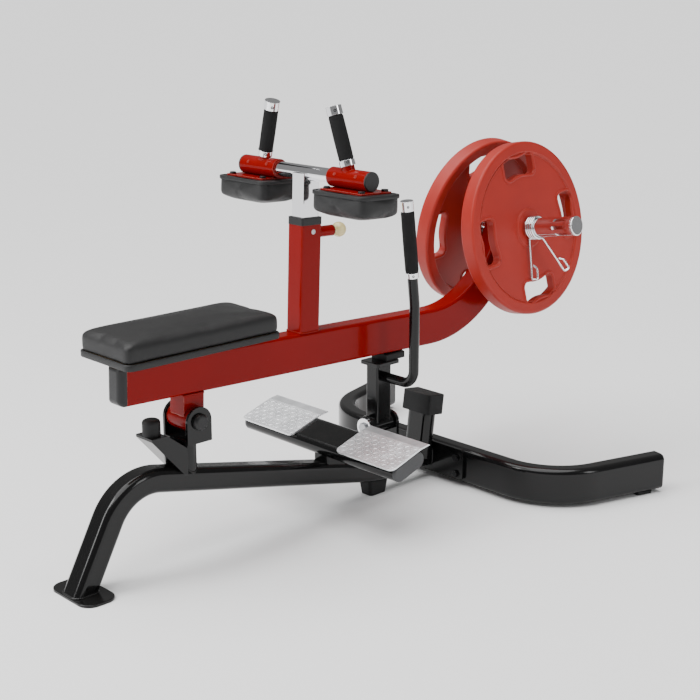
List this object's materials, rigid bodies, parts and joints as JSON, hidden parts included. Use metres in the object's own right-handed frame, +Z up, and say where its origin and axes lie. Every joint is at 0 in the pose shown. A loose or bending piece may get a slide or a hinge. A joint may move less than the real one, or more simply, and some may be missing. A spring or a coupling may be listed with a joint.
{
  "type": "seated calf raise machine",
  "caption": "Plate-loaded seated calf raise machine: pivoting red arm with seat, thigh pads and weight horns on a bent black base with foot plates.",
  "frame": {"origin": "on the floor, under the centre of the whole machine's bounding box", "axes": "+X from the seat toward the weights, +Y to the seated user's left, +Z up"},
  "size_m": [1.6039, 1.017, 0.9973],
  "materials": {
    "black_frame": "glossy black powder coat",
    "red_arm": "glossy red powder coat",
    "chrome": "polished",
    "steel": "zinc plated",
    "black_bolt": "black oxide",
    "tread": "bright embossed tread",
    "black_rubber": "matt",
    "black_plastic": "satin",
    "grey_plastic": "satin",
    "bronze": "plain bearing",
    "cream_knob": "glossy",
    "grip_foam": "closed-cell foam",
    "seat_board": "plywood",
    "vinyl": "black upholstery vinyl",
    "red_plate": "red rubber-like coating"
  },
  "bodies": {
    "frame": {"front_foot_plate": "black_frame", "base_tube": "black_frame", "middle_foot": "black_rubber", "rear_flange": "black_frame", "flange_bolts": "black_bolt", "rear_base_tube": "black_frame", "rear_end_caps": "black_plastic", "rear_foot_pads": "black_rubber", "pivot_post": "black_frame", "pivot_clevis": "black_frame", "pivot_axle": "steel", "pivot_caps": "black_plastic", "bumper_bracket": "black_frame", "front_bumper": "black_rubber", "foot_bar_saddle": "black_frame", "foot_bar": "black_frame", "foot_bar_end_caps": "grey_plastic", "foot_plates": "tread", "stop_post": "black_frame", "stop_block": "black_rubber", "catch_bracket": "black_frame", "catch_axle": "steel", "catch_washers": "chrome"},
    "catch": {"catch_post": "black_frame", "catch_saddle": "black_frame", "catch_pad": "black_rubber", "release_lever": "black_frame", "lever_grip": "grip_foam", "lever_ferrules": "chrome"},
    "arm": {"arm_beam": "red_arm", "beam_end_caps": "black_plastic", "pivot_sleeve": "red_arm", "pivot_gusset": "red_arm", "pivot_bushes": "bronze", "upright_tube": "red_arm", "upright_collar": "black_plastic", "pop_pin_boss": "red_arm", "pop_pin_spring": "steel", "weight_horns": "chrome", "horn_end_caps": "chrome", "seat_brackets": "steel", "seat_bolts": "steel", "seat_board": "seat_board", "seat_cushion": "vinyl"},
    "pop_pin": {"pop_pin_plunger": "steel", "pop_pin_knob": "cream_knob"},
    "thigh_carriage": {"thigh_post": "chrome", "cross_tube": "chrome", "sleeve_end_caps": "black_plastic", "pad_sleeves": "red_arm", "handle_tubes": "chrome", "handle_grips": "grip_foam", "handle_ferrules": "chrome", "pad_plates": "red_arm", "pad_bolts": "black_bolt", "thigh_pads": "vinyl"},
    "plate_right": {"weight_plate_right": "red_plate"},
    "plate_left": {"weight_plate_left": "red_plate"},
    "spring_collar_right": {"collar_right": "chrome"},
    "spring_collar_left": {"collar_left": "chrome"}
  },
  "joints": [
    {"name": "arm_pivot", "type": "hinge", "parent": "frame", "child": "arm", "pos_m": [-0.4745, 0, 0.33], "axis": [0, -1, 0], "range_deg": [0, 25]},
    {"name": "catch_swing", "type": "hinge", "parent": "frame", "child": "catch", "pos_m": [0.1195, 0, 0.18], "axis": [1, 0, 0], "range_deg": [0, 25]},
    {"name": "thigh_height", "type": "slide", "parent": "arm", "child": "thigh_carriage", "axis": [0.0366, 0, 0.9993], "range_m": [-0.06, 0.1]},
    {"name": "pop_pin_pull", "type": "slide", "parent": "arm", "child": "pop_pin", "axis": [0.9993, 0, -0.0366], "range_m": [0, 0.012], "stiffness_N_per_m": 600, "springref_m": -0.012},
    {"name": "plate_slide_right", "type": "slide", "parent": "arm", "child": "plate_right", "axis": [0.0059, -0.9869, 0.1615], "range_m": [0, 0.2]},
    {"name": "plate_slide_left", "type": "slide", "parent": "arm", "child": "plate_left", "axis": [0.0059, 0.9869, 0.1615], "range_m": [0, 0.2]},
    {"name": "collar_slide_right", "type": "slide", "parent": "plate_right", "child": "spring_collar_right", "axis": [0.0059, -0.9869, 0.1615], "range_m": [0, 0.16]},
    {"name": "collar_slide_left", "type": "slide", "parent": "plate_left", "child": "spring_collar_left", "axis": [0.0059, 0.9869, 0.1615], "range_m": [0, 0.16]}
  ]
}
